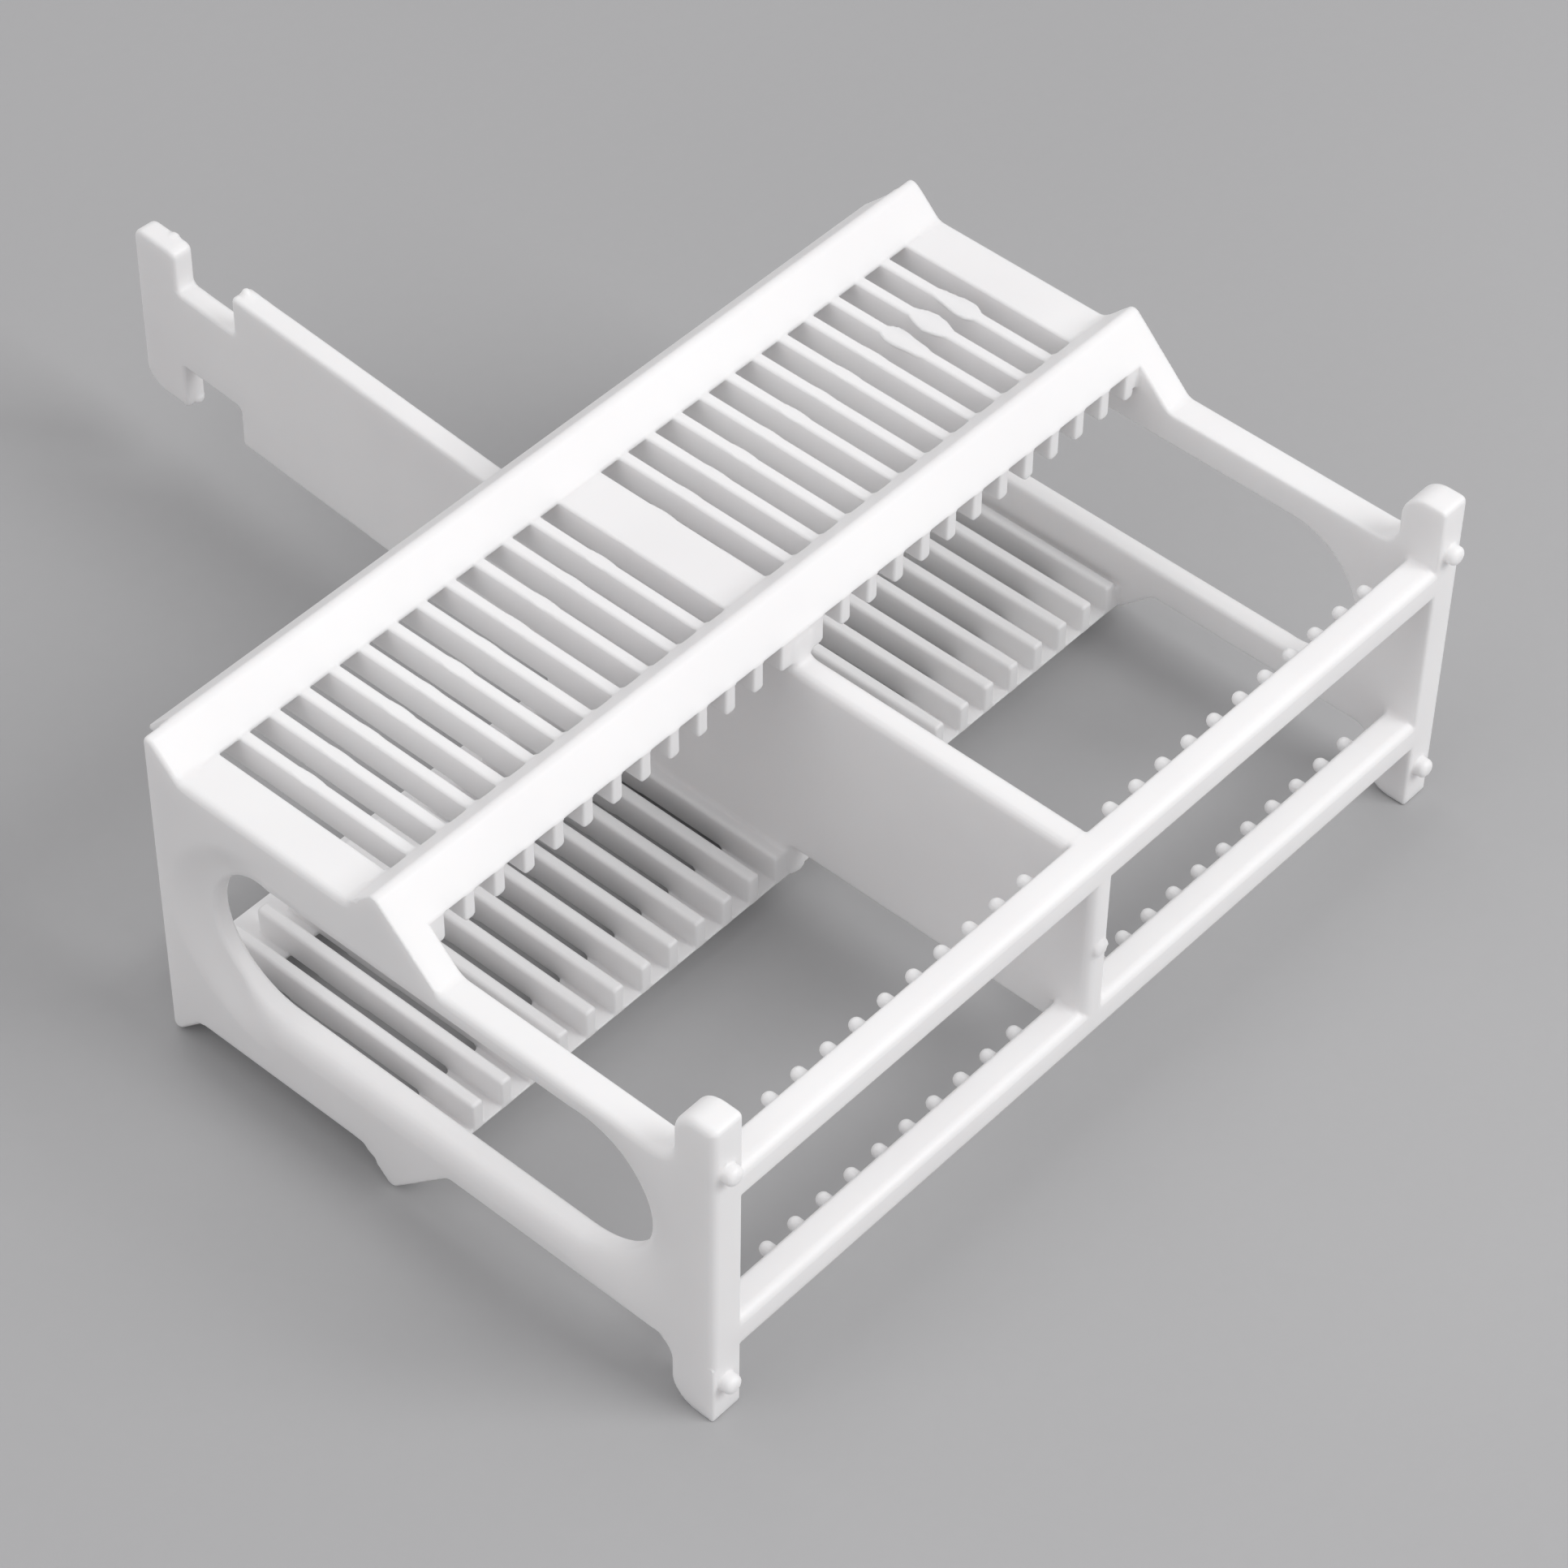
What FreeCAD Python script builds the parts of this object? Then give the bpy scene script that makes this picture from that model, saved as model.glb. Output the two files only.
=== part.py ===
import FreeCAD, Part
import math
import os
import Sketcher
from types import SimpleNamespace

# Microscope slide rack, one moulding. It lies on its side, with its handle pointing along +Y.
# X runs along the row of slides, Y from the front rails to the handle, Z is up.
# The origin is on the table, under the middle of the rack's outline.
# In the features below, Y is measured from the rack's front faces, and heights from the mid-plane
# that halves the rack between its two combs. The body's placement then moves it to the origin.

doc = FreeCAD.newDocument("SlideRack")
sheet = doc.addObject("Spreadsheet::Sheet", "Sizes")

sizes = {
    # combs
    "rib_pitch": 3.3,
    "ribs_per_half": 13,
    "first_rib": 1.97,
    "end_band": 1.1,
    "band_depth": 1.85,
    "rib_flat": 0.96,
    "rib_width": 1.16,
    "rib_round": 0.38,
    "rib_depth": 3.2,
    "rib_back": 0.25,
    "comb_height": 14.3,
    "flange_web": 0.9,
    "flange_rise": 3.1,
    "front_ridge": 34.75,
    "rear_ridge": 59.37,
    # walls
    "wall_rear": 60.0,
    "end_wall": 2.9,
    "side_height": 10.9,
    "centre_wall": 2.6,
    "centre_height": 10.7,
    "centre_round": 0.6,
    "edge_break": 0.4,
    # end posts
    "post_depth": 4.3,
    "post_top": 17.3,
    "post_flare": 2.05,
    "post_round": 2.6,
    # windows in the end walls
    "window_front": 7.7,
    "window_rear": 54.7,
    "window_half": 7.5,
    "window_round": 2.0,
    # front rails, nubs, pegs and gate stub
    "rail_depth": 3.0,
    "rail_low": 7.3,
    "rail_round": 1.0,
    "nub_radius": 0.67,
    "nub_sides": 8,
    "nub_length": 1.8,
    "peg_radius": 0.95,
    "peg_length": 1.5,
    "peg_height": 12.5,
    "stub_radius": 0.95,
    "stub_length": 0.35,
    # handle
    "handle_start": 59.2,
    "handle_root": 2.5,
    "handle_lean": 3.95,
    "handle_thick": 2.06,
    "handle_break": 0.35,
    "bar_half": 8.7,
    "bar_length": 40.0,
    "bar_round": 0.8,
    "neck_half": 4.4,
    "neck_length": 7.6,
    "head_half": 8.9,
    "head_length": 5.55,
    "head_round": 2.0,
}


class Size:
    # a number together with the formula in the sheet that gives it
    def __init__(self, number, formula):
        self.number = number
        self.formula = formula

    def __add__(self, other):
        return Size(self.number + other.number, "(%s + %s)" % (self.formula, other.formula))

    def __sub__(self, other):
        return Size(self.number - other.number, "(%s - %s)" % (self.formula, other.formula))

    def __mul__(self, other):
        return Size(self.number * other.number, "(%s * %s)" % (self.formula, other.formula))

    def __truediv__(self, other):
        return Size(self.number / other.number, "(%s / %s)" % (self.formula, other.formula))

    def __neg__(self):
        return Size(-self.number, "(-%s)" % self.formula)


def whole(number):
    return Size(number, "%d" % number)


for row, (name, number) in enumerate(sizes.items(), start=1):
    sheet.set("A%d" % row, name)
    sheet.set("B%d" % row, str(number))
    sheet.setAlias("B%d" % row, name)
doc.recompute()

n = SimpleNamespace(**{name: Size(number, "Sizes.%s" % name) for name, number in sizes.items()})
zero = Size(0.0, "0")

# sizes that follow from the others
lastRib = n.first_rib + (n.ribs_per_half - whole(1)) * n.rib_pitch
innerHalf = lastRib + n.end_band
outerHalf = innerHalf + n.end_wall
bandInner = n.comb_height - n.band_depth
ribTip = n.comb_height - n.rib_depth
ribShoulder = ribTip + n.rib_round
webInner = n.comb_height - n.flange_web
ridgeTop = n.comb_height + n.flange_rise
frontLip = n.front_ridge - n.flange_rise
ribFront = frontLip + n.rib_back
frontFoot = n.front_ridge + n.flange_rise
rearFoot = n.rear_ridge - n.flange_rise
rearLip = n.rear_ridge + n.flange_rise
railTop = n.centre_height
railMiddle = (n.rail_low + railTop) / whole(2)
wallMiddle = innerHalf + n.end_wall / whole(2)


def bind(thing, path, value):
    thing.setExpression(path, value.formula)


def originItem(body, role):
    # one of the body's own planes or axes
    return [o for o in body.Origin.OriginFeatures if o.Role == role][0]


def newSketch(body, name, role, offset=None):
    # a sketch on one of the body's origin planes, moved by offset in the plane's own frame
    sketch = body.newObject("Sketcher::SketchObject", name)
    sketch.AttachmentSupport = [(originItem(body, role), "")]
    sketch.MapMode = "FlatFace"
    for axis, value in (offset or {}).items():
        bind(sketch, "AttachmentOffset.Base.%s" % axis, value)
    return sketch


def pin(sketch, geo, end, direction, value):
    # fixes one coordinate of a point by a formula of the sheet
    kind = "DistanceX" if direction == "across" else "DistanceY"
    if value.number == 0.0:
        line = -2 if direction == "across" else -1
        sketch.addConstraint(Sketcher.Constraint("PointOnObject", geo, end, line))
    elif value.number > 0.0:
        index = sketch.addConstraint(Sketcher.Constraint(kind, -1, 1, geo, end, value.number))
        bind(sketch, "Constraints[%d]" % index, value)
    else:
        index = sketch.addConstraint(Sketcher.Constraint(kind, geo, end, -1, 1, -value.number))
        bind(sketch, "Constraints[%d]" % index, -value)


def outline(sketch, corners, arcs=None):
    # a closed outline through the corners, given to the left round the shape
    # arcs gives the centre and radius of the arc that starts at a corner
    arcs = arcs or {}
    first = sketch.GeometryCount
    count = len(corners)
    for i, (across, up) in enumerate(corners):
        nextAcross, nextUp = corners[(i + 1) % count]
        start = FreeCAD.Vector(across.number, up.number, 0)
        stop = FreeCAD.Vector(nextAcross.number, nextUp.number, 0)
        if i in arcs:
            centre, radius = arcs[i]
            middle = FreeCAD.Vector(centre[0].number, centre[1].number, 0)
            circle = Part.Circle(middle, FreeCAD.Vector(0, 0, 1), radius.number)
            a = math.atan2(start.y - middle.y, start.x - middle.x)
            b = math.atan2(stop.y - middle.y, stop.x - middle.x)
            while b <= a:
                b += 2 * math.pi
            sketch.addGeometry(Part.ArcOfCircle(circle, a, b))
        else:
            sketch.addGeometry(Part.LineSegment(start, stop))
    for i in range(count):
        sketch.addConstraint(Sketcher.Constraint("Coincident", first + i, 2, first + (i + 1) % count, 1))
    for i, (across, up) in enumerate(corners):
        pin(sketch, first + i, 1, "across", across)
        pin(sketch, first + i, 1, "up", up)
    for i, (centre, radius) in arcs.items():
        start = corners[i]
        stop = corners[(i + 1) % count]
        if abs(stop[0].number - start[0].number) < abs(stop[1].number - start[1].number):
            pin(sketch, first + i, 3, "across", centre[0])
        else:
            pin(sketch, first + i, 3, "up", centre[1])


def addPad(body, name, sketch, length, reversed=False):
    pad = body.newObject("PartDesign::Pad", name)
    pad.Profile = sketch
    bind(pad, "Length", length)
    pad.Reversed = reversed
    doc.recompute()
    return pad


def addPin(body, name, centre, radius, start, stop):
    # a round pin along Y, from start to stop, centred at the given X and height
    sketch = newSketch(body, "%sSketch" % name, "XZ_Plane", {"z": -start})
    middle = FreeCAD.Vector(centre[0].number, centre[1].number, 0)
    sketch.addGeometry(Part.Circle(middle, FreeCAD.Vector(0, 0, 1), radius.number))
    index = sketch.addConstraint(Sketcher.Constraint("Radius", 0, radius.number))
    bind(sketch, "Constraints[%d]" % index, radius)
    pin(sketch, 0, 3, "across", centre[0])
    pin(sketch, 0, 3, "up", centre[1])
    return addPad(body, name, sketch, stop - start, True)


def addRow(body, name, feature, count):
    row = body.newObject("PartDesign::LinearPattern", name)
    row.Originals = [feature]
    row.Direction = (originItem(body, "X_Axis"), [""])
    row.Mode = "Spacing"
    bind(row, "Offset", n.rib_pitch)
    bind(row, "Occurrences", count)
    body.Tip = row
    doc.recompute()
    return row


def addMirror(body, name, role):
    # doubles the whole shape across an origin plane
    mirror = body.newObject("PartDesign::Mirrored", name)
    mirror.TransformMode = "Whole shape"
    mirror.MirrorPlane = (originItem(body, role), [""])
    body.Tip = mirror
    doc.recompute()
    return mirror


def addEdges(body, kind, name, feature, size, wanted):
    # rounds or breaks every edge that passes the test, which also gets the edge's middle
    names = []
    for i, edge in enumerate(feature.Shape.Edges, start=1):
        middle = edge.valueAt((edge.FirstParameter + edge.LastParameter) / 2)
        if wanted(edge, middle):
            names.append("Edge%d" % i)
    softened = body.newObject("PartDesign::%s" % kind, name)
    softened.Base = (feature, names)
    bind(softened, "Radius" if kind == "Fillet" else "Size", size)
    doc.recompute()
    return softened


def near(a, b):
    return abs(a - b) < 0.001


def plate(corners):
    return [(corners[i], corners[i + 1]) for i in range(0, len(corners), 2)]


rack = doc.addObject("PartDesign::Body", "Rack")
rack.Label = "slide_rack"

# Centre wall, the quarter of the rack with positive X above the mid-plane
# In front it meets the rail, and behind the front lip it rises to the comb's outer face
webTop = n.rail_low + n.rail_round
sketch = newSketch(rack, "CentreWallSketch", "YZ_Plane")
outline(sketch, plate([
    zero, zero,
    n.wall_rear, zero,
    n.wall_rear, n.comb_height,
    frontLip, n.comb_height,
    frontLip, n.centre_height,
    n.rail_depth, n.centre_height,
    n.rail_depth, webTop,
    zero, webTop,
]))
centreWall = addPad(rack, "CentreWall", sketch, n.centre_wall / whole(2))

# Softened upper edge of the centre wall
addEdges(
    rack, "Fillet", "CentreEdge", centreWall, n.centre_round,
    lambda edge, m: near(m.x, n.centre_wall.number / 2) and near(m.z, n.centre_height.number)
    and m.y > n.rail_depth.number,
)

# Two ridged flanges, one along the front of the comb and one along its rear, with 45 degree faces
sketch = newSketch(rack, "FlangeSketch", "YZ_Plane")
for lip, ridge, foot in ((frontLip, n.front_ridge, frontFoot), (rearFoot, n.rear_ridge, rearLip)):
    outline(sketch, plate([
        lip, webInner,
        foot, webInner,
        foot, n.comb_height,
        ridge, ridgeTop,
        lip, n.comb_height,
    ]))
flanges = addPad(rack, "Flanges", sketch, innerHalf)

# Band of solid comb beside the centre wall, as deep as the ribs, and a thinner one beside the end wall
sketch = newSketch(rack, "CentreBandSketch", "YZ_Plane")
outline(sketch, plate([
    ribFront, ribTip, n.wall_rear, ribTip, n.wall_rear, n.comb_height, ribFront, n.comb_height,
]))
addPad(rack, "CentreBand", sketch, n.first_rib)
sketch = newSketch(rack, "EndBandSketch", "YZ_Plane", {"z": lastRib})
outline(sketch, plate([
    ribFront, bandInner, n.wall_rear, bandInner, n.wall_rear, n.comb_height, ribFront, n.comb_height,
]))
addPad(rack, "EndBand", sketch, n.end_band)

# Ribs of the comb: flat outside, a little wider towards the slides, with rounded tip corners
sketch = newSketch(rack, "RibSketch", "XZ_Plane", {"z": -ribFront})
halfFlat = n.rib_flat / whole(2)
halfRib = n.rib_width / whole(2)
halfTip = halfRib - n.rib_round
outline(sketch, [
    (n.first_rib - halfRib, ribShoulder),
    (n.first_rib - halfTip, ribTip),
    (n.first_rib + halfTip, ribTip),
    (n.first_rib + halfRib, ribShoulder),
    (n.first_rib + halfFlat, n.comb_height),
    (n.first_rib - halfFlat, n.comb_height),
], {
    0: ((n.first_rib - halfTip, ribShoulder), n.rib_round),
    2: ((n.first_rib + halfTip, ribShoulder), n.rib_round),
})
rib = addPad(rack, "Rib", sketch, n.wall_rear - ribFront, True)
addRow(rack, "RibRow", rib, n.ribs_per_half)

# Front rail with rounded front edges
sketch = newSketch(rack, "RailSketch", "YZ_Plane")
lowCentre = (n.rail_round, n.rail_low + n.rail_round)
highCentre = (n.rail_round, railTop - n.rail_round)
outline(sketch, [
    (n.rail_round, n.rail_low),
    (n.rail_depth, n.rail_low),
    (n.rail_depth, railTop),
    (n.rail_round, railTop),
    (zero, railTop - n.rail_round),
    (zero, n.rail_low + n.rail_round),
], {3: (highCentre, n.rail_round), 5: (lowCentre, n.rail_round)})
addPad(rack, "Rail", sketch, innerHalf)

# End wall with its front post; its upper edge follows the flanges and the comb
postEnd = n.side_height + n.post_flare
crown = (n.post_depth - n.post_round, n.post_top - n.post_round)
sketch = newSketch(rack, "EndWallSketch", "YZ_Plane", {"z": innerHalf})
outline(sketch, [
    (zero, zero),
    (n.wall_rear, zero),
    (n.wall_rear, ridgeTop - (n.wall_rear - n.rear_ridge)),
    (n.rear_ridge, ridgeTop),
    (rearFoot, n.comb_height),
    (frontFoot, n.comb_height),
    (n.front_ridge, ridgeTop),
    (n.front_ridge - (ridgeTop - n.side_height), n.side_height),
    (n.post_depth + n.post_flare, n.side_height),
    (n.post_depth, postEnd),
    (n.post_depth, n.post_top - n.post_round),
    (n.post_depth - n.post_round, n.post_top),
    (zero, n.post_top),
], {10: (crown, n.post_round)})
addPad(rack, "EndWall", sketch, n.end_wall)

# Long window in the end wall with round ends
sketch = newSketch(rack, "WindowSketch", "YZ_Plane", {"z": outerHalf})
frontCentre = (n.window_front + n.window_half, zero)
rearCentre = (n.window_rear - n.window_half, zero)
outline(sketch, [
    (n.window_front, zero),
    (n.window_rear, zero),
    (rearCentre[0], n.window_half),
    (frontCentre[0], n.window_half),
], {1: (rearCentre, n.window_half), 3: (frontCentre, n.window_half)})
window = rack.newObject("PartDesign::Pocket", "Window")
window.Profile = sketch
bind(window, "Length", n.end_wall)
doc.recompute()

# Broad rounding of the window's outer rim
windowRim = addEdges(
    rack, "Fillet", "WindowRim", window, n.window_round,
    lambda edge, m: near(m.x, outerHalf.number) and m.z > 0.001
    and n.window_front.number - 0.001 < m.y < n.window_rear.number + 0.001
    and m.z < n.window_half.number + 0.001,
)

# Broken outer edge of the end wall, and the two ridges
addEdges(
    rack, "Chamfer", "OuterEdge", windowRim, n.edge_break,
    lambda edge, m: (near(m.x, outerHalf.number) and m.z > 0.001 and (
        m.z > n.side_height.number - 0.001 or near(m.y, 0.0) or near(m.y, n.wall_rear.number)))
    or (near(m.z, ridgeTop.number) and edge.Length > n.end_wall.number),
)

# Nubs on the rear of the rail, one in line with each rib but the outermost two, with few sides
# because there are many of them
nub = rack.newObject("PartDesign::AdditivePrism", "Nub")
nub.AttachmentSupport = [(originItem(rack, "XZ_Plane"), "")]
nub.MapMode = "FlatFace"
bind(nub, "AttachmentOffset.Base.x", n.first_rib + n.rib_pitch)
bind(nub, "AttachmentOffset.Base.y", railMiddle)
bind(nub, "AttachmentOffset.Base.z", -(n.rail_depth + n.nub_length))
bind(nub, "Polygon", n.nub_sides)
bind(nub, "Circumradius", n.nub_radius)
bind(nub, "Height", n.nub_length + n.nub_radius)
doc.recompute()
addRow(rack, "NubRow", nub, n.ribs_per_half - whole(2))

# Peg on the front of the post
addPin(rack, "Peg", (wallMiddle, n.peg_height), n.peg_radius, -n.peg_length, n.peg_radius)

# The quarter doubled to the left, then below the mid-plane
addMirror(rack, "BothHalves", "YZ_Plane")
addMirror(rack, "BothCombs", "XY_Plane")

# Low gate stub in the middle of the centre wall's front
addPin(rack, "Stub", (zero, zero), n.stub_radius, -n.stub_length, n.stub_radius)

# Handle in the plane of the centre wall, leaning a little towards +X from where it leaves the rack
sketch = newSketch(rack, "HandleSketch", "YZ_Plane", {"x": n.handle_start})
leanTurn = FreeCAD.Rotation(FreeCAD.Vector(0, 1, 0), -n.handle_lean.number)
sketch.AttachmentOffset = FreeCAD.Placement(FreeCAD.Vector(n.handle_start.number, 0, 0), leanTurn)
bind(sketch, "AttachmentOffset.Rotation.Angle", -n.handle_lean)
neckEnd = n.bar_length + n.neck_length
headEnd = neckEnd + n.head_length
upper = [
    (n.bar_length, n.neck_half),
    (n.bar_length, n.bar_half - n.bar_round),
    (n.bar_length - n.bar_round, n.bar_half),
    (-n.handle_root, n.bar_half),
]
lower = [
    (-n.handle_root, -n.bar_half),
    (n.bar_length - n.bar_round, -n.bar_half),
    (n.bar_length, n.bar_round - n.bar_half),
    (n.bar_length, -n.neck_half),
]
head = [
    (neckEnd, -n.neck_half),
    (neckEnd, -n.head_half),
    (headEnd - n.head_round, -n.head_half),
    (headEnd, n.head_round - n.head_half),
    (headEnd, n.head_half - n.head_round),
    (headEnd - n.head_round, n.head_half),
    (neckEnd, n.head_half),
    (neckEnd, n.neck_half),
]
outline(sketch, lower + head + upper, {
    1: ((n.bar_length - n.bar_round, n.bar_round - n.bar_half), n.bar_round),
    6: ((headEnd - n.head_round, n.head_round - n.head_half), n.head_round),
    8: ((headEnd - n.head_round, n.head_half - n.head_round), n.head_round),
    13: ((n.bar_length - n.bar_round, n.bar_half - n.bar_round), n.bar_round),
})
handle = rack.newObject("PartDesign::Pad", "Handle")
handle.Profile = sketch
handle.SideType = "Symmetric"
bind(handle, "Length", n.handle_thick)
doc.recompute()

# Broken edges along both faces of the handle
lean = math.radians(n.handle_lean.number)


def onHandleFace(edge, m):
    # the distance of the edge from the handle's own middle plane, clear of the centre wall
    offset = m.x * math.cos(lean) - (m.y - n.handle_start.number) * math.sin(lean)
    return near(abs(offset), n.handle_thick.number / 2) and m.y > rearLip.number


addEdges(rack, "Chamfer", "HandleEdge", handle, n.handle_break, onHandleFace)

# The rack rests on its posts and ridges, with the table at height zero
outlineLength = n.handle_start + headEnd - n.peg_length
bind(rack, "Placement.Base.y", -outlineLength / whole(2))
bind(rack, "Placement.Base.z", n.post_top)
doc.recompute()

for item in doc.Objects:
    if "Invalid" in item.State or "Error" in item.State:
        raise RuntimeError("%s failed: %s" % (item.Name, item.State))
if rack.Shape.isNull() or not rack.Shape.isValid():
    raise RuntimeError("slide_rack has no valid shape")
if len(rack.Shape.Solids) != 1:
    raise RuntimeError("slide_rack is not one solid")

box = rack.Shape.BoundBox
print("slide_rack %.2f x %.2f x %.2f" % (box.XLength, box.YLength, box.ZLength))
print("volume %.0f" % rack.Shape.Volume)
os.makedirs("parts", exist_ok=True)
rack.Shape.exportStep("parts/slide_rack.step")
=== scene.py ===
import math
import bmesh
import bpy
import numpy as np
from mathutils import Matrix, Vector


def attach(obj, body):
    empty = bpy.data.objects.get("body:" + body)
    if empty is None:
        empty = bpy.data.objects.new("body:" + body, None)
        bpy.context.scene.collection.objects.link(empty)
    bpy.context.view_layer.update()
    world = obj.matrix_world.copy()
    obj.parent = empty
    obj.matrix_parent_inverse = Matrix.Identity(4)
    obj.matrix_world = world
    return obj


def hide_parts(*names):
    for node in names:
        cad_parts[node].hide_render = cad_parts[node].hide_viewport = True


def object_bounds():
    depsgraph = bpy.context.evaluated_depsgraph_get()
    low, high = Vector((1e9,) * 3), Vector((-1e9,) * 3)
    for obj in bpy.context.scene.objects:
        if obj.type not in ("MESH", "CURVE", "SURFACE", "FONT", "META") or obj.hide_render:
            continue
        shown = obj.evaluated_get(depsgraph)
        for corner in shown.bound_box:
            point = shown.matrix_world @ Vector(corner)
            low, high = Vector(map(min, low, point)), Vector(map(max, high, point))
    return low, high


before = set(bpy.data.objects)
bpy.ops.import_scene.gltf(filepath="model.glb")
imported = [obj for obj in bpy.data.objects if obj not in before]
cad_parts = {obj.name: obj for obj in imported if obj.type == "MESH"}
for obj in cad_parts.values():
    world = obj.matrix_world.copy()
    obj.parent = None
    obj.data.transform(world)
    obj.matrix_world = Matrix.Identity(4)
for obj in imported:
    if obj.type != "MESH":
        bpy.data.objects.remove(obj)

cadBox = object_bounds()
mm = 0.001  # the rack is worked out in millimetres and goes into the mesh in metres

# The rack is one moulding, so it is one skin. A distance field says how far a point lies from the
# plastic: u = |x| from the centre wall, y from the rack's front faces, w = |z| from the mid-plane
# between the two combs. Every part of the rack has a field of its own, and the fields are joined with
# small fillets. The skin is the surface where the joined field is zero. Lengths are in millimetres. An
# edge, a round, a crest or a lip is the radius of an outer edge, and a foot, a flare, a fillet or a notch's
# round is the radius in a corner.


# inside both shapes: the larger of two distances, with the edge where they cross rounded to a radius
def both(a, b, radius):
    corner = np.hypot(np.maximum(a + radius, 0), np.maximum(b + radius, 0))
    return np.minimum(-radius, np.maximum(a, b)) + corner


# inside one or the other: the smaller of two distances, with a fillet in the corner between them
def either(a, b, radius):
    corner = np.hypot(np.maximum(radius - a, 0), np.maximum(radius - b, 0))
    return np.maximum(radius, np.minimum(a, b)) - corner


# distance to a stretch of one axis
def between(value, low, high):
    return np.maximum(low - value, value - high)


# 0 where a value is at start, 1 where it is at end, and straight in between; start may be the larger one
def rising(value, start, end):
    return np.clip((value - start) / (end - start), 0, 1)


# how far u lies from the middle of the nearest rib, for the ribs from low to high
def fromRib(u, low, high):
    number = np.clip(np.round((u - comb["first"]) / comb["pitch"]), low, high)
    return u - comb["first"] - number * comb["pitch"], number


comb = dict(
    pitch=3.3, ribs=13, first=1.97, top=14.3, front=31.65, rear=60.0,
    frontRidge=34.8, rearRidge=59.45, lowerBack=0.3, rise=3.1, crest=0.7, foot=0.12,
    web=0.3, lip=0.12, flangeReach=42.7,
)
rib = dict(
    back=0.12, lowerBack=0.2, tip=11.1, tipHalf=0.6, topHalf=0.56,
    tipRound=0.38, topRound=0.3, endRound=0.22,
)
band = dict(endFrom=41.57, endInner=11.9, edge=0.3)


# ribs of one comb: a section that narrows a little to its flat top, with round corners at its tip
def ribField(u, y, w, front):
    across, number = fromRib(u, 0, comb["ribs"] - 1)
    depth = np.clip((comb["top"] - w) / (comb["top"] - rib["tip"]), 0, 1)
    half = rib["topHalf"] + (rib["tipHalf"] - rib["topHalf"]) * depth
    section = both(np.abs(across) - half, rib["tip"] - w, rib["tipRound"])
    section = both(section, w - comb["top"], rib["topRound"])
    return both(section, between(y, front, comb["rear"]), rib["endRound"])


# distance below a comb's two ridges, which are 45 degree roofs with a rounded crest
def ridgeField(y, w, frontRidge, rearRidge):
    height = (w - comb["top"] - comb["rise"]) * math.sqrt(0.5)
    front = (y - frontRidge) * math.sqrt(0.5)
    rear = (y - rearRidge) * math.sqrt(0.5)
    frontRoof = both(height + front, height - front, comb["crest"])
    return np.minimum(frontRoof, both(height + rear, height - rear, comb["crest"]))


flash = dict(
    thick=0.45, upperMiddle=49.2, upperHalf=2.4, lowerMiddle=50.3, lowerHalf=3.2, edge=0.12, squareness=6,
    spread=0.03, vary=0.035, varyTurn=2.6,
    largeMiddle=48.3, largeHalf=2.7, largeSpread=0.45, firstLarge=9, wave=0.2, waveLength=0.85, waveTurn=2,
)


# thin flash on each rib's flat: a lens on the upper comb, a strip with square ends on the lower one, and a
# larger lens with a wavy edge on the upper comb's three ribs before the right end's band
def flashField(x, y, z):
    across, number = fromRib(np.abs(x), 0, comb["ribs"] - 2)
    isLarge = (x > 0) & (z > 0) & (number >= flash["firstLarge"])
    ripple = flash["wave"] * np.sin(y / flash["waveLength"] + number * flash["waveTurn"])
    small = flash["spread"] + flash["vary"] * np.sin(number * flash["varyTurn"] + np.sign(x))
    spread = rib["topHalf"] + np.where(isLarge, flash["largeSpread"] + ripple, small)
    middle = np.where(z > 0, flash["upperMiddle"], flash["lowerMiddle"])
    middle = np.where(isLarge, flash["largeMiddle"], middle)
    half = np.where(z > 0, flash["upperHalf"], flash["lowerHalf"])
    half = np.where(isLarge, flash["largeHalf"], half)
    along = np.abs((y - middle) / half)
    along = np.where(z > 0, along, along ** flash["squareness"])
    lens = (np.hypot(across / spread, along) - 1) * spread
    return both(lens, between(np.abs(z), comb["top"] - flash["thick"], comb["top"]), flash["edge"])


# comb: the ribs, a solid band beside each wall, and a ridged flange along its front and its rear
def combField(x, y, z):
    u = np.abs(x)
    w = np.abs(z)
    centreBand = np.maximum(u - comb["first"], rib["tip"] - w)
    endBand = both(band["endFrom"] - u, band["endInner"] - w, band["edge"])
    bands = both(np.minimum(centreBand, endBand), w - comb["top"], rib["topRound"])
    front = comb["front"] + rib["back"] + rib["lowerBack"] * (z < 0)
    bands = both(bands, between(y, front, comb["rear"]), rib["endRound"])
    frontRidge = comb["frontRidge"] + comb["lowerBack"] * (z < 0)
    nearest = np.where(y < (comb["front"] + comb["rear"]) / 2, frontRidge, comb["rearRidge"])
    under = both(comb["top"] - comb["web"] - w, np.abs(y - nearest) - comb["rise"], comb["lip"])
    flanges = both(ridgeField(y, w, frontRidge, comb["rearRidge"]), under, comb["lip"])
    flanges = np.maximum(flanges, np.minimum(u - comb["flangeReach"], y - walls["rear"]))
    ribs = np.minimum(np.minimum(ribField(u, y, w, front), bands), flashField(x, y, z))
    return np.maximum(either(ribs, flanges, comb["foot"]), u - walls["inner"] - walls["overlap"])


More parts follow.
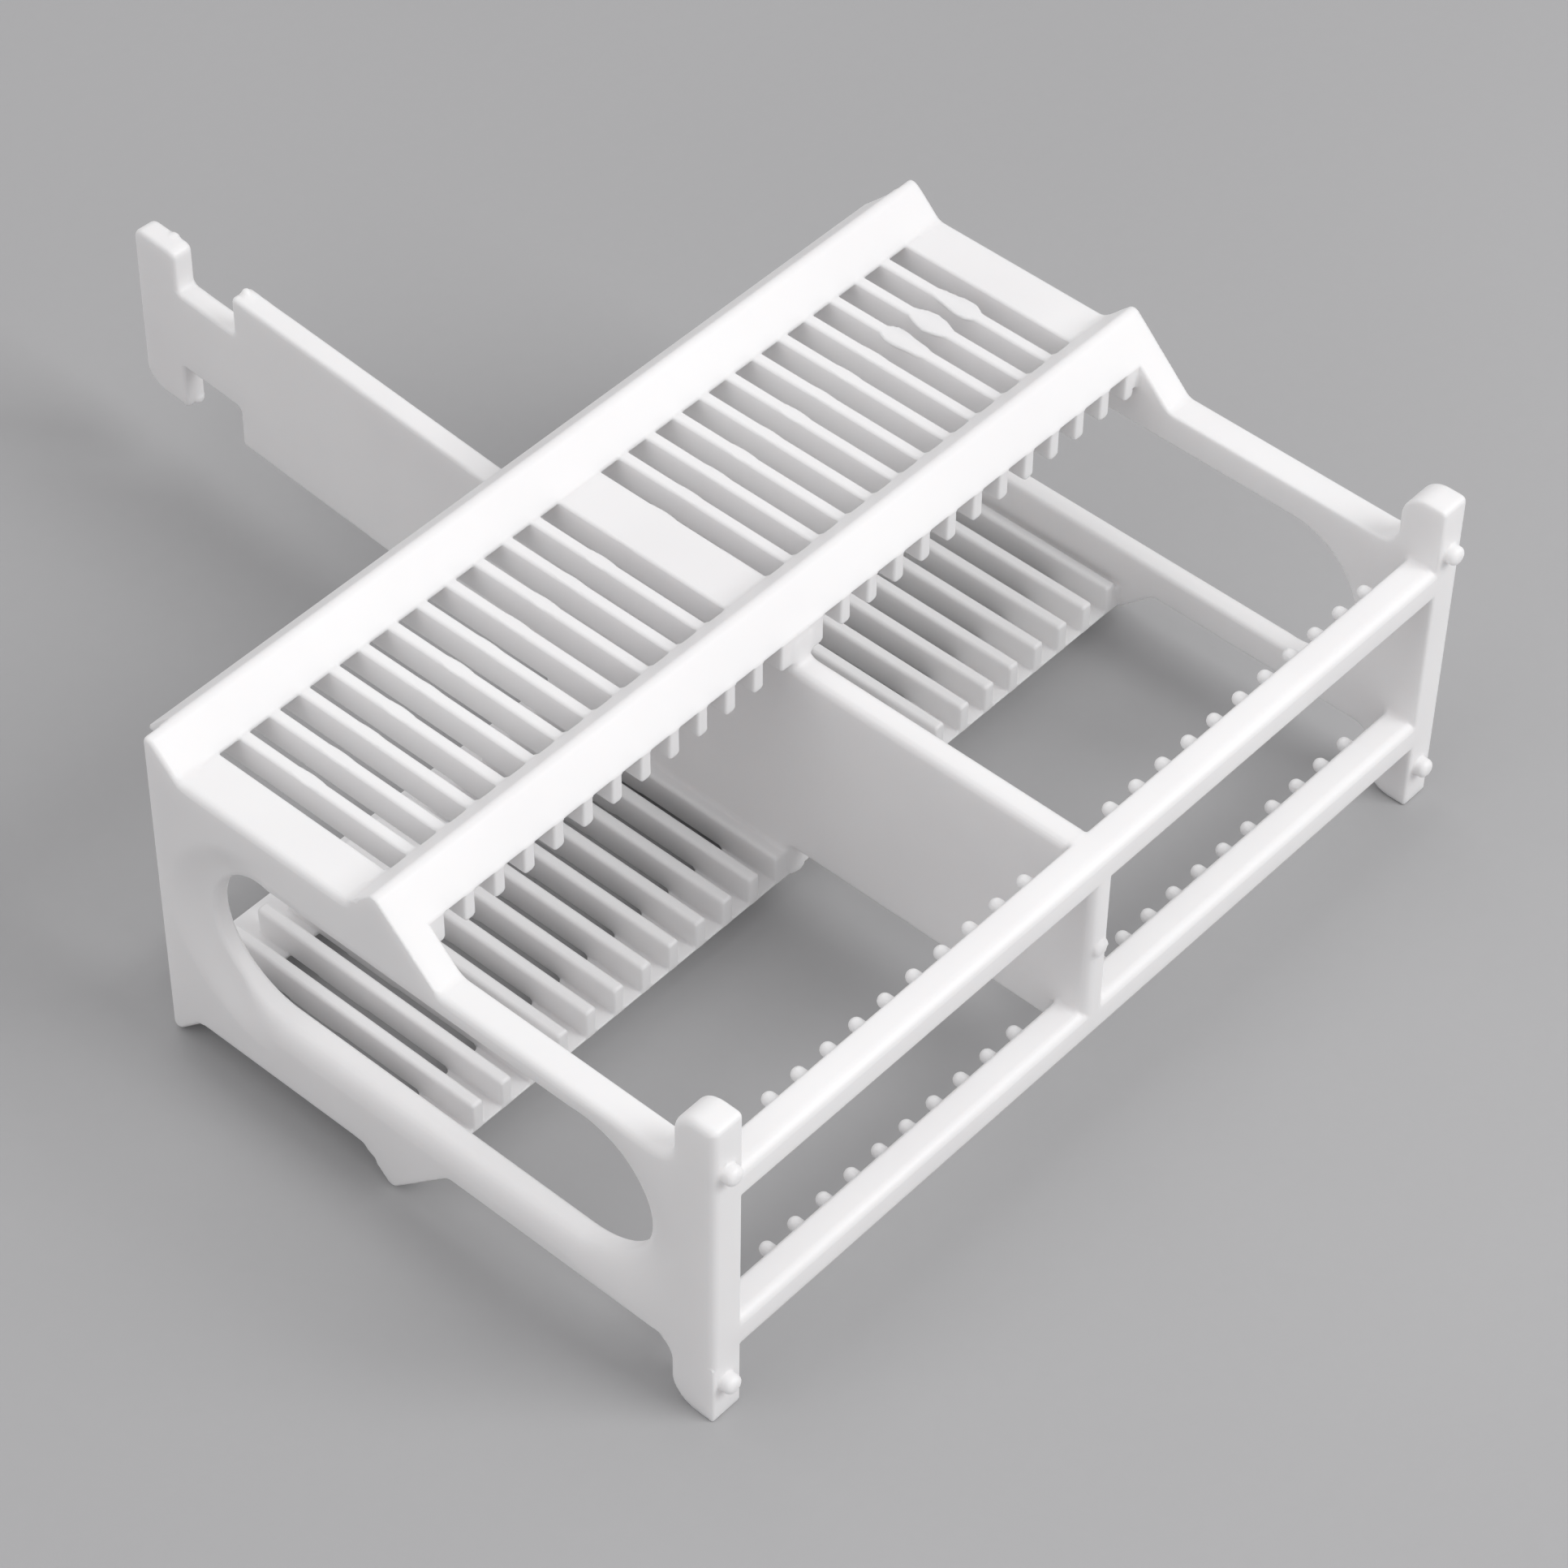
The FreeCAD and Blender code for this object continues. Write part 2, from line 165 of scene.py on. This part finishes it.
walls = dict(
    inner=42.67, outer=cadBox[1][0] / mm, rear=60.0, side=10.9, overlap=1,
    softEdge=0.8, crispEdge=0.2, innerEdge=0.3, rampFoot=0.35, sideFoot=0.1,
    slopeEdge=0.12, slopeFade=0.3, rearSlopeEdge=0.4, rearSlope=5,
    rearEdge=0.35, rearFade=(1.7, 0.7),
    postDepth=4.3, postTop=17.3, postFlare=2.05, postRound=2.6, leftPostPad=0.3, postFade=2,
    leftPostEdge=0.75, rightPostEdge=0.15, upperRound=0.5, lowerRound=0.12,
)
# the rim's radius is its depth, and its width is the depth times sideRim, endRim or dishRim
window = dict(
    front=7.5, rear=54.7, half=7.5, rimDepth=1.75, sideRim=1.4, endRim=2.6, innerRim=0.5, endFade=5,
    dishRim=0.7, dishDepth=1.25, dishReach=4.2,
)


# end wall: a plate whose outline is the side bar, the ridges' ramps and the post; its outer edge is soft on
# the bar that faces up at the left end, and crisp elsewhere
def plateField(x, y, z):
    u = np.abs(x)
    w = np.abs(z)
    ridges = ridgeField(y, w, comb["frontRidge"], comb["rearRidge"])
    post = both(w - walls["postTop"], y - walls["postDepth"], walls["postRound"])
    side = either(w - walls["side"], post, walls["postFlare"])
    middle = np.maximum(w - comb["top"], comb["frontRidge"] - y)
    plain = np.minimum(side, middle)
    outline = either(either(side, middle, walls["sideFoot"]), ridges, walls["rampFoot"])
    outline = both(outline, y - walls["rear"], walls["rearEdge"])
    outline = both(outline, -y, np.where(z > 0, walls["upperRound"], walls["lowerRound"]))
    edge = np.where((x < 0) & (z > 0), walls["softEdge"], walls["crispEdge"])
    rearSlope = (x < 0) & (y > walls["rear"] - walls["rearSlope"])
    onSlope = np.where(rearSlope, walls["rearSlopeEdge"], walls["slopeEdge"])
    edge = edge + (onSlope - edge) * rising(plain - ridges, 0, walls["slopeFade"])
    onPost = np.where((x < 0) & (z > -walls["side"]), walls["leftPostEdge"], walls["rightPostEdge"])
    edge = edge + (onPost - edge) * atPost(y)
    fadeStart, fadeEnd = walls["rearFade"]
    edge = edge + (walls["rearEdge"] - edge) * rising(y, walls["rear"] - fadeStart, walls["rear"] - fadeEnd)
    outer = both(outline, u - walls["outer"], edge)
    return np.maximum(outer, both(outline, innerFace(x, y), walls["innerEdge"]))


# 1 on the post and 0 on the rest of the wall
def atPost(y):
    return rising(y, walls["postDepth"] + walls["postFade"], walls["postDepth"])


# distance to the wall's inner face, which a pad brings forward on the left post
def innerFace(x, y):
    return walls["inner"] - walls["leftPostPad"] * (x < 0) * atPost(y) - np.abs(x)


# distance past the window's edge into the wall, negative in the opening, and its place along the window
def windowEdge(y, w):
    straight = (window["rear"] - window["front"]) / 2 - window["half"]
    fromMiddle = np.abs(y - (window["front"] + window["rear"]) / 2)
    edge = np.hypot(np.maximum(fromMiddle - straight, 0), w) - window["half"]
    return edge, fromMiddle - straight


# the wall with its window between round ends: the outer rim is round along the sides and wider at the
# ends, and a dish with an S-shaped slope surrounds the rear end
def wallField(x, y, z):
    edge, pastStraight = windowEdge(y, np.abs(z))
    atEnd = rising(pastStraight, 0, window["endFade"])
    rim = window["sideRim"] + (window["endRim"] - window["sideRim"]) * atEnd
    endStart = window["rear"] - window["half"]
    atDish = rising(y, endStart, endStart + window["endFade"])
    rim = rim + (window["dishRim"] - rim) * atDish
    slope = np.clip(1 - edge / window["dishReach"], 0, 1)
    dish = window["dishDepth"] * atDish * slope ** 2 * (3 - 2 * slope)
    outer = both(-edge / rim, np.abs(x) - walls["outer"] + dish, window["rimDepth"] - dish)
    inner = both(-edge, innerFace(x, y), window["innerRim"])
    return np.maximum(plateField(x, y, z), np.maximum(outer, inner))


centre = dict(half=1.3, top=10.7, rear=60.0, intoRail=1, edge=1.0, endRound=0.3, combFoot=0.6, railFoot=0.3)
rails = dict(depth=3.0, low=7.3, high=10.7, frontRound=0.85, rearRound=0.45)


# centre wall: it rises from between the rails to the comb, with soft upper edges
def centreField(u, y, w):
    height = either(np.maximum(w - comb["top"], comb["front"] - y), w - centre["top"], centre["combFoot"])
    betweenRails = w - rails["low"] - centre["intoRail"]
    height = either(np.maximum(height, rails["depth"] - y), betweenRails, centre["railFoot"])
    outline = both(height, between(y, 0, centre["rear"]), centre["endRound"])
    return both(outline, u - centre["half"], centre["edge"])


# front rail: a bar with rounded edges, which runs into the end walls
def railField(u, y, w):
    front = both(between(w, rails["low"], rails["high"]), -y, rails["frontRound"])
    rail = both(front, y - rails["depth"], rails["rearRound"])
    return np.maximum(rail, u - walls["inner"] - walls["overlap"])


knobs = dict(radius=0.64, length=1.65, sink=0.6)


# round-ended knobs on the rear of the rails, one in line with each rib; each half has none at its first and
# last rib, and the left half has none at its last but one either
def knobField(x, y, w):
    across, number = fromRib(np.abs(x), 1, comb["ribs"] - 2 - (x < 0))
    tip = rails["depth"] + knobs["length"] - knobs["radius"]
    along = y - np.clip(y, rails["depth"] - knobs["sink"], tip)
    up = w - (rails["low"] + rails["high"]) / 2
    return np.sqrt(across ** 2 + along ** 2 + up ** 2) - knobs["radius"]


pegs = dict(x=44.1, upper=12.1, lower=13.15, radius=0.87, length=1.1, sink=0.8, tipRound=0.5)
stub = dict(radius=0.8, length=0.3, sink=1, edge=0.22)


# peg with a round end on the front of each post
def pegField(u, y, z):
    height = np.where(z > 0, z - pegs["upper"], z + pegs["lower"])
    shaft = np.hypot(u - pegs["x"], height) - pegs["radius"]
    return both(shaft, between(y, -pegs["length"], pegs["sink"]), pegs["tipRound"])


handle = dict(
    start=59.2, root=2.5, lean=3.2, half=1.1, edge=0.42,
    barHalf=8.75, barLength=40.0, barRound=0.5, neckHalf=4.4, neckLength=7.6, notchRound=0.5,
    headUp=8.8, headDown=9.3, headLength=5.5, upperRound=1.2, lowerRound=2.2,
    innerUpperRound=0.7, innerLowerRound=0.25, intoHead=1, burrFoot=0.3,
)
# small burrs left on the handle's corners: their places along the handle, across it and up, and their radii
burrs = ((39.35, 0.2, 8.85, 0.4), (47.9, 0.4, -9.1, 0.5), (49.6, 0.75, 8.6, 0.4))


# handle: a flat bar, a neck and a head, which lean from where the bar leaves the rack
def handleField(x, y, z):
    lean = math.radians(handle["lean"])
    along = (y - handle["start"]) * math.cos(lean) + x * math.sin(lean)
    across = x * math.cos(lean) - (y - handle["start"]) * math.sin(lean)
    w = np.abs(z)
    neckEnd = handle["barLength"] + handle["neckLength"]
    bar = both(w - handle["barHalf"], along - handle["barLength"], handle["barRound"])
    headEnd = along - neckEnd - handle["headLength"]
    head = both(z - handle["headUp"], headEnd, handle["upperRound"])
    head = np.maximum(head, both(-z - handle["headDown"], headEnd, handle["lowerRound"]))
    innerRound = np.where(z > 0, handle["innerUpperRound"], handle["innerLowerRound"])
    head = both(head, neckEnd - along, innerRound)
    neck = np.maximum(w - handle["neckHalf"], along - neckEnd - handle["intoHead"])
    outline = either(either(bar, neck, handle["notchRound"]), head, handle["notchRound"])
    outline = np.maximum(outline, -handle["root"] - along)
    plate = both(outline, np.abs(across) - handle["half"], handle["edge"])
    for at, aside, up, radius in burrs:
        burr = np.sqrt((along - at) ** 2 + (across - aside) ** 2 + (z - up) ** 2) - radius
        plate = either(plate, burr, handle["burrFoot"])
    return plate


joint = dict(fillet=0.45, small=0.2, flush=0.05, fade=0.5, underTop=0.5, behindFront=0.3, beforeRear=0.6)


# distance to the whole moulding: the parts' fields joined one after another, with fillets that fade out
# where two parts lie flush in one face
def mouldingField(x, y, z):
    u = np.abs(x)
    w = np.abs(z)
    buried = np.minimum(comb["top"] - joint["underTop"] - w, y - joint["behindFront"])
    buried = np.minimum(buried, walls["rear"] - joint["beforeRear"] - y)
    fillet = joint["fillet"] * np.clip(buried / joint["fade"], joint["flush"], 1)
    field = either(combField(x, y, z), wallField(x, y, z), fillet)
    field = either(field, centreField(u, y, w), fillet)
    field = either(field, railField(u, y, w), fillet)
    field = either(field, np.minimum(knobField(x, y, w), pegField(u, y, z)), joint["small"])
    gate = both(np.hypot(x, z) - stub["radius"], between(y, -stub["length"], stub["sink"]), stub["edge"])
    field = either(field, gate, joint["small"])
    return either(field, handleField(x, y, z), joint["small"])


# grid lines along one axis: from a start, stretches that each run to an end in steps of about a spacing
def lines(start, *stretches):
    rows = [np.array([start])]
    for end, spacing in stretches:
        count = max(1, round((end - rows[-1][-1]) / spacing))
        rows.append(np.linspace(rows[-1][-1], end, count + 1)[1:])
    return np.concatenate(rows)


# the same lines on both sides of zero
def mirrored(half):
    return np.concatenate([-half[::-1], half])


# close together where edges are round, and wide apart along what is straight
grid = dict(
    nearest=0.2, front=-1.9, leastGap=0.08, lastRibLine=42.0,
    beforeRibs=((0.6, 0.4), (1.9, 0.16)),
    besideRib=(0.15, 0.3, 0.43, 0.54, 0.66, 0.82, 1.2), betweenRibs=1.65,
    afterRibs=((42.45, 0.25), (43.3, 0.15), (44.2, 0.25), (46.0, 0.15)),
    along=((-0.3, 0.27), (5.2, 0.24), (7.0, 0.6), (15.6, 0.5), (27.4, 1.6), (36.2, 0.27), (45.4, 1.1),
           (53.9, 0.42), (55.9, 0.8), (63.4, 0.27), (97.9, 1.6), (112.9, 0.3)),
    up=((3.8, 0.6), (5.0, 0.3), (6.8, 0.45), (10.6, 0.26), (12.2, 0.18), (13.2, 0.33), (14.7, 0.19),
        (18, 0.27)),
)
besideRib = np.array(grid["besideRib"])
acrossRib = np.concatenate([-besideRib[::-1], [0], besideRib, [grid["betweenRibs"]]])
ribLines = np.add.outer(np.arange(comb["ribs"]) * comb["pitch"] + comb["first"], acrossRib).ravel()
halfX = lines(grid["nearest"], *grid["beforeRibs"])
apart = ribLines > halfX[-1] + grid["leastGap"]
halfX = np.concatenate([halfX, ribLines[apart & (ribLines < grid["lastRibLine"])]])
halfX = np.concatenate([halfX, lines(halfX[-1], *grid["afterRibs"])[1:]])
xs = mirrored(halfX)
ys = lines(grid["front"], *grid["along"])
zs = mirrored(lines(grid["nearest"], *grid["up"]))
single = [axis.astype(np.float32) for axis in (xs, ys, zs)]
field = mouldingField(single[0][:, None, None], single[1][None, :, None], single[2][None, None, :])
print("distance field worked out on a grid of", field.shape)


# the points of a surface net: in each grid cell that the surface enters, the mean of the places where the
# surface crosses the cell's edges
def cellPoints(field, cells, corners, axes):
    total = np.zeros((len(cells), 3))
    crossed = np.zeros(len(cells))
    for start in corners:
        for axis in range(3):
            if start[axis] == 1:
                continue
            end = tuple(1 if n == axis else start[n] for n in range(3))
            fromCell, toCell = cells + start, cells + end
            fromField, toField = field[tuple(fromCell.T)], field[tuple(toCell.T)]
            cut = (fromField < 0) != (toField < 0)
            share = np.where(cut, fromField / np.where(cut, fromField - toField, 1), 0)
            for n in range(3):
                low, high = axes[n][fromCell[:, n]], axes[n][toCell[:, n]]
                total[:, n] += np.where(cut, low + share * (high - low), 0)
            crossed += cut
    return total / crossed[:, None]


# its faces: round each grid edge that the surface crosses, the quad of the four cells that meet there,
# which faces away from the plastic
def edgeQuads(solid, index):
    quads = []
    for axis in range(3):
        p, q = (axis + 1) % 3, (axis + 2) % 3
        low = [slice(None)] * 3
        high = [slice(None)] * 3
        low[axis], high[axis] = slice(0, -1), slice(1, None)
        leaving = solid[tuple(low)] & ~solid[tuple(high)]
        entering = ~solid[tuple(low)] & solid[tuple(high)]
        for crossing, order in ((leaving, (0, 1, 2, 3)), (entering, (3, 2, 1, 0))):
            edges = np.argwhere(crossing)
            edges = edges[(edges[:, p] > 0) & (edges[:, q] > 0)]
            around = []
            for stepP, stepQ in ((-1, -1), (0, -1), (0, 0), (-1, 0)):
                cell = edges.copy()
                cell[:, p] += stepP
                cell[:, q] += stepQ
                around.append(index[tuple(cell.T)])
            quads.append(np.stack(around, axis=1)[:, order])
    return np.concatenate(quads)


# the net's points and faces; a cell is entered where some of its corners, but not all, are in the plastic
def netSkin(field, axes):
    solid = field < 0
    shape = tuple(n - 1 for n in field.shape)
    corners = [(i, j, k) for i in (0, 1) for j in (0, 1) for k in (0, 1)]
    count = np.zeros(shape, dtype=np.int8)
    for i, j, k in corners:
        count += solid[i:i + shape[0], j:j + shape[1], k:k + shape[2]]
    cells = np.argwhere((count > 0) & (count < len(corners)))
    index = np.full(shape, -1, dtype=np.int32)
    index[tuple(cells.T)] = np.arange(len(cells))
    return cellPoints(field, cells, corners, axes), edgeQuads(solid, index)


settling = dict(rounds=3, step=0.02, limit=0.15, leastSlope=0.25)


# moves each point along the field's slope until the field there is zero
def settle(points):
    step = settling["step"]
    for turn in range(settling["rounds"]):
        x, y, z = points.T
        slope = np.stack([
            mouldingField(x + step, y, z) - mouldingField(x - step, y, z),
            mouldingField(x, y + step, z) - mouldingField(x, y - step, z),
            mouldingField(x, y, z + step) - mouldingField(x, y, z - step)], axis=1) / (2 * step)
        reach = mouldingField(x, y, z) / np.maximum((slope ** 2).sum(axis=1), settling["leastSlope"])
        points = points - slope * np.clip(reach, -settling["limit"], settling["limit"])[:, None]
    return points


points, quads = netSkin(field, (xs, ys, zs))
points = settle(points)
print("skin made with", len(points), "points and", len(quads), "quads")

place = dict(frontToOrigin=55.425, midHeight=17.3)  # from the front faces and the mid-plane to the origin
points = points + (0, -place["frontToOrigin"], place["midHeight"])
mesh = bpy.data.meshes.new("rackMoulding")
mesh.from_pydata((points * mm).tolist(), [], quads.tolist())
mesh.validate()
rack = bpy.data.objects.new("rackMoulding", mesh)
bpy.context.collection.objects.link(rack)

# faces that lie in one plane are merged, and the rounded edges stay as they are
finish = dict(flatAngle=0.4, normalWeight=60)
work = bmesh.new()
work.from_mesh(mesh)
flatAngle = math.radians(finish["flatAngle"])
bmesh.ops.dissolve_limit(work, angle_limit=flatAngle, verts=work.verts, edges=work.edges)
bmesh.ops.recalc_face_normals(work, faces=work.faces)
work.to_mesh(mesh)
work.free()
mesh.shade_smooth()
weighted = rack.modifiers.new("weightedNormal", "WEIGHTED_NORMAL")
weighted.mode = "FACE_AREA"
weighted.weight = finish["normalWeight"]
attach(rack, "root")
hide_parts("slide_rack")
mesh.calc_loop_triangles()
print("flat faces merged, which leaves", len(mesh.loop_triangles), "triangles")


# a material of its own, with its node tree
def newPaint(name):
    paint = bpy.data.materials.new(name)
    paint.use_nodes = True
    return paint, paint.node_tree.nodes, paint.node_tree.links


# the stretch of a noise's values that is spread over a range, and the one over which a shade drifts
noiseSpan = dict(spread=(0.3, 0.7), drift=(0.35, 0.65))


# cloudy noise in the object's own coordinates, as many clouds to the metre as its scale says
def addNoise(nodes, links, coordinates, scale, detail):
    noise = nodes.new("ShaderNodeTexNoise")
    noise.inputs["Scale"].default_value = scale
    noise.inputs["Detail"].default_value = detail
    links.new(coordinates.outputs["Object"], noise.inputs["Vector"])
    return noise.outputs["Fac"]


# spreads a noise over the range of a value, such as a roughness
def spread(nodes, links, noise, low, high):
    ranged = nodes.new("ShaderNodeMapRange")
    ranged.inputs["From Min"].default_value = noiseSpan["spread"][0]
    ranged.inputs["From Max"].default_value = noiseSpan["spread"][1]
    ranged.inputs["To Min"].default_value = low
    ranged.inputs["To Max"].default_value = high
    links.new(noise, ranged.inputs["Value"])
    return ranged.outputs["Result"]


# a colour that drifts between two shades with a noise
def drift(nodes, links, noise, first, second):
    ramp = nodes.new("ShaderNodeValToRGB")
    for stop, position, colour in zip(ramp.color_ramp.elements, noiseSpan["drift"], (first, second)):
        stop.position = position
        stop.color = colour
    links.new(noise, ramp.inputs["Fac"])
    return ramp.outputs["Color"]


# bumps as high as a noise says
def addBump(nodes, links, noise, strength, depth):
    bump = nodes.new("ShaderNodeBump")
    bump.inputs["Strength"].default_value = strength
    bump.inputs["Distance"].default_value = depth
    links.new(noise, bump.inputs["Height"])
    return bump


# white moulded plastic: light passes a little way into it, its sheen varies slightly over its faces as it
# does on a used moulding, and a fine grain breaks up the highlights; depths are in metres, and a noise has
# its scale and detail
plastic = dict(
    shades=((0.85, 0.842, 0.845, 1), (0.885, 0.88, 0.88, 1)), shadeNoise=(38, 3),
    roughness=(0.4, 0.54), sheenNoise=(150, 5),
    waviness=0.25, waveDepth=0.0004, waveNoise=(90, 1),
    grain=0.12, grainDepth=0.00002, grainNoise=(1400, 3),
    scatter=0.55, scatterRadius=(1.0, 0.95, 0.92), scatterDepth=0.0018, ior=1.5,
)
paint, nodes, links = newPaint("rackPlastic")
shader = nodes["Principled BSDF"]
coordinates = nodes.new("ShaderNodeTexCoord")
shade = addNoise(nodes, links, coordinates, *plastic["shadeNoise"])
links.new(drift(nodes, links, shade, *plastic["shades"]), shader.inputs["Base Color"])
sheen = addNoise(nodes, links, coordinates, *plastic["sheenNoise"])
links.new(spread(nodes, links, sheen, *plastic["roughness"]), shader.inputs["Roughness"])
waveNoise = addNoise(nodes, links, coordinates, *plastic["waveNoise"])
wave = addBump(nodes, links, waveNoise, plastic["waviness"], plastic["waveDepth"])
grainNoise = addNoise(nodes, links, coordinates, *plastic["grainNoise"])
grain = addBump(nodes, links, grainNoise, plastic["grain"], plastic["grainDepth"])
links.new(wave.outputs["Normal"], grain.inputs["Normal"])
links.new(grain.outputs["Normal"], shader.inputs["Normal"])
shader.inputs["IOR"].default_value = plastic["ior"]
shader.inputs["Subsurface Weight"].default_value = plastic["scatter"]
shader.inputs["Subsurface Radius"].default_value = plastic["scatterRadius"]
shader.inputs["Subsurface Scale"].default_value = plastic["scatterDepth"]
mesh.materials.append(paint)
print("plastic made")

# pale paper floor with a faint tooth
paper = dict(
    reach=3.0, shades=((0.40, 0.40, 0.405, 1), (0.425, 0.425, 0.43, 1)), shadeNoise=(6, 2),
    roughness=(0.8, 0.95), tooth=0.25, toothDepth=0.0001, toothNoise=(500, 4),
)
floorMesh = bpy.data.meshes.new("floor")
side = paper["reach"]
floorCorners = [(-side, -side, 0), (side, -side, 0), (side, side, 0), (-side, side, 0)]
floorMesh.from_pydata(floorCorners, [], [(0, 1, 2, 3)])
floor = bpy.data.objects.new("floor", floorMesh)
bpy.context.collection.objects.link(floor)
paint, nodes, links = newPaint("floorPaper")
shader = nodes["Principled BSDF"]
coordinates = nodes.new("ShaderNodeTexCoord")
shade = addNoise(nodes, links, coordinates, *paper["shadeNoise"])
links.new(drift(nodes, links, shade, *paper["shades"]), shader.inputs["Base Color"])
tooth = addNoise(nodes, links, coordinates, *paper["toothNoise"])
links.new(spread(nodes, links, tooth, *paper["roughness"]), shader.inputs["Roughness"])
bump = addBump(nodes, links, tooth, paper["tooth"], paper["toothDepth"])
links.new(bump.outputs["Normal"], shader.inputs["Normal"])
floorMesh.materials.append(paint)
print("floor laid")


# direction from azimuth and elevation in degrees, where azimuth 0 is the front and 90 is the right
def towards(azimuth, elevation):
    a, e = math.radians(azimuth), math.radians(elevation)
    return Vector((math.sin(a) * math.cos(e), -math.cos(a) * math.cos(e), math.sin(e)))


# matrix at a place that looks at a target, turned about its line of sight
def aimed(location, target, roll=0.0):
    forward = (target - location).normalized()
    right = forward.cross(Vector((0, 0, 1))).normalized()
    up = right.cross(forward) * math.cos(roll) + right * math.sin(roll)
    matrix = Matrix((forward.cross(up), up, -forward)).transposed().to_4x4()
    matrix.translation = location
    return matrix


# the target and distance are in millimetres, and the clip is in metres
view = dict(
    azimuth=-49.0, elevation=46.62, roll=-1.02, distance=433.85, target=(3.19, -19.135, 7.79),
    lens=118.46, sensor=36, clip=(0.01, 10),
)
cameraData = bpy.data.cameras.new("camera")
cameraData.lens = view["lens"]
cameraData.sensor_width = view["sensor"]
cameraData.clip_start, cameraData.clip_end = view["clip"]
camera = bpy.data.objects.new("camera", cameraData)
target = Vector(view["target"])
eye = target + towards(view["azimuth"], view["elevation"]) * view["distance"]
camera.matrix_world = aimed(eye * mm, target * mm, math.radians(view["roll"]))
bpy.context.collection.objects.link(camera)
bpy.context.scene.camera = camera

# soft studio light: the lamps' distances and sizes are in metres, and they all point at the middle
studio = dict(sky=(0.87, 0.86, 0.87, 1), skyPower=0.66, middle=(0, 0, 0.02))
lamps = dict(
    key=dict(azimuth=20, elevation=42, distance=0.9, size=0.45, power=3.8),
    fill=dict(azimuth=-100, elevation=50, distance=1.1, size=0.7, power=1.4),
    back=dict(azimuth=175, elevation=60, distance=1.0, size=0.7, power=1.0),
)
for name, lamp in lamps.items():
    light = bpy.data.lights.new(name, "AREA")
    light.size = lamp["size"]
    light.energy = lamp["power"]
    lightObject = bpy.data.objects.new(name, light)
    spot = towards(lamp["azimuth"], lamp["elevation"]) * lamp["distance"]
    lightObject.matrix_world = aimed(spot, Vector(studio["middle"]))
    bpy.context.collection.objects.link(lightObject)
world = bpy.data.worlds.new("studio")
world.use_nodes = True
background = world.node_tree.nodes["Background"]
background.inputs["Color"].default_value = studio["sky"]
background.inputs["Strength"].default_value = studio["skyPower"]
bpy.context.scene.world = world
bpy.context.scene.view_settings.view_transform = "Standard"
print("camera and lights set")
